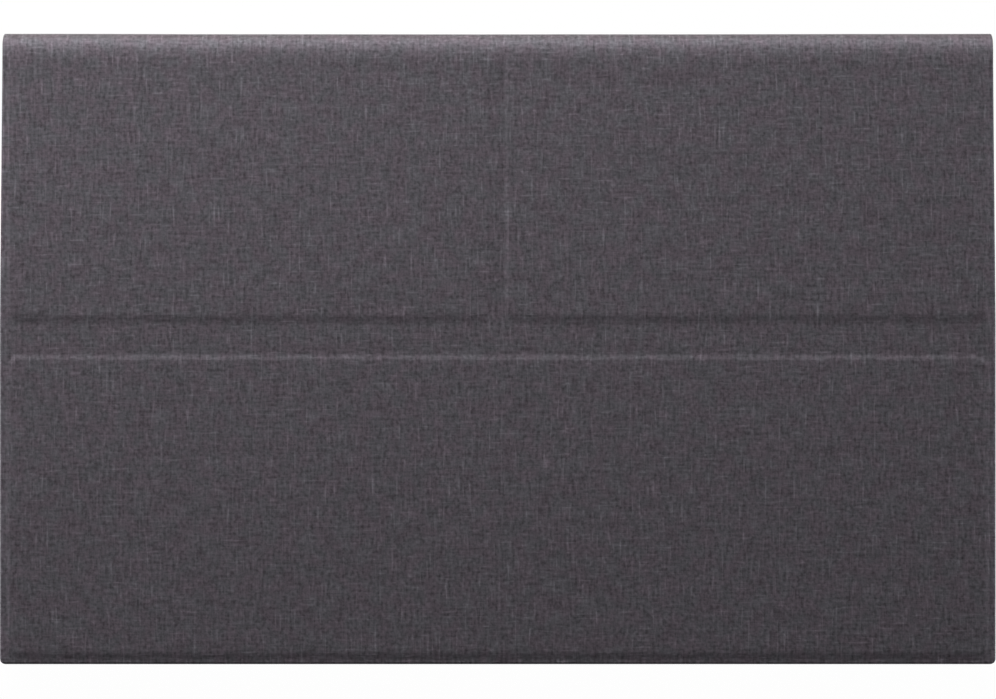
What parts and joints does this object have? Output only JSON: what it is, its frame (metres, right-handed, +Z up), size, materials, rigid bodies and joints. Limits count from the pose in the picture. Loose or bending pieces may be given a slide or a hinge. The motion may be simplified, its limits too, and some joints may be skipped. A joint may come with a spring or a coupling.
{
  "type": "portable monitor with folding cover",
  "caption": "Slim flat portable display in a wrap-around fabric cover: stiff panels with fold creases, rolled spine, rear holding panel, side sockets and keys, closed and lying flat.",
  "frame": {"origin": "middle of the closed case in plan, on the surface that it lies on", "axes": "+X along the width, +Y from the free edge towards the spine, +Z up through the cover's outer face"},
  "size_m": [0.356, 0.225, 0.015],
  "materials": {
    "housing": "fine matte texture",
    "front_frame": "fine matte texture",
    "screen_glass": "flat, glossy",
    "lcd": "dark polarised",
    "film": "milky film",
    "light_guide": "clear acrylic",
    "led": "LED bar",
    "sheet_metal": "plain sheet",
    "circuit_board": "solder mask",
    "chip": "moulded",
    "socket_plastic": "ivory plastic",
    "socket_shell": "bright shell",
    "ribbon": "flat cable",
    "wire": "insulated wire",
    "speaker": "moulded box",
    "light_pipe": "clear plastic",
    "key": "satin",
    "steel": "plain steel",
    "black_screw": "black zinc",
    "foot_rubber": "soft matte",
    "cover_fabric": "dark grey heathered weave",
    "lining": "short-napped lining",
    "board": "pressed fibre board",
    "magnet": "nickel plated"
  },
  "bodies": {
    "monitor": {"rear_cover": "housing", "front_frame": "front_frame", "front_glass": "screen_glass", "lcd_cell": "lcd", "diffuser_films": "film", "light_guide": "light_guide", "reflector_sheet": "film", "led_bar": "led", "panel_back_plate": "sheet_metal", "driver_board": "circuit_board", "main_board": "circuit_board", "main_chips": "chip", "heat_spreader": "sheet_metal", "board_sockets": "socket_plastic", "usb_c_sockets": "socket_shell", "mini_hdmi_socket": "socket_shell", "headphone_jack": "chip", "panel_cable": "ribbon", "side_board": "circuit_board", "side_cable": "ribbon", "tact_switches": "chip", "speaker_left": "speaker", "speaker_right": "speaker", "speaker_leads": "wire", "status_light": "light_pipe", "rocker_pin": "steel", "steel_strips": "steel", "keeper_plates": "steel", "rubber_feet": "foot_rubber", "rear_screws": "black_screw", "board_screws": "steel", "back_fabric": "cover_fabric", "back_board": "board", "back_lining": "lining", "back_magnets": "magnet", "back_crease": "cover_fabric"},
    "spine": {"spine_fabric": "cover_fabric", "spine_core": "board", "spine_lining": "lining", "front_crease": "cover_fabric"},
    "upper_cover": {"upper_fabric": "cover_fabric", "upper_left_board": "board", "upper_right_board": "board", "upper_lining": "lining", "fold_crease": "cover_fabric"},
    "lower_cover": {"lower_fabric": "cover_fabric", "lower_board": "board", "lower_lining": "lining", "closing_magnets": "magnet"},
    "power_key": {"power_button": "key"},
    "menu_key": {"menu_rocker": "key"}
  },
  "joints": [
    {"name": "cover_spine", "type": "hinge", "parent": "monitor", "child": "spine", "pos_m": [0, 0.1109, 0.0016], "axis": [-1, 0, 0], "range_deg": [0, 200], "deforming": ["back_crease"]},
    {"name": "cover_front", "type": "hinge", "parent": "spine", "child": "upper_cover", "pos_m": [0, 0.1109, 0.0134], "axis": [-1, 0, 0], "range_deg": [0, 90], "deforming": ["front_crease"]},
    {"name": "cover_fold", "type": "hinge", "parent": "upper_cover", "child": "lower_cover", "pos_m": [0, 0.00425, 0.0152], "axis": [-1, 0, 0], "range_deg": [0, 136], "deforming": ["fold_crease"]},
    {"name": "power_press", "type": "slide", "parent": "monitor", "child": "power_key", "axis": [-1, 0, 0], "range_m": [0, 0.0005], "stiffness_N_per_m": 900},
    {"name": "menu_rock", "type": "hinge", "parent": "monitor", "child": "menu_key", "pos_m": [0.1734, 0.042, 0.007], "axis": [0, 0, 1], "range_deg": [-2, 2], "stiffness_Nm_per_rad": 0.06}
  ]
}
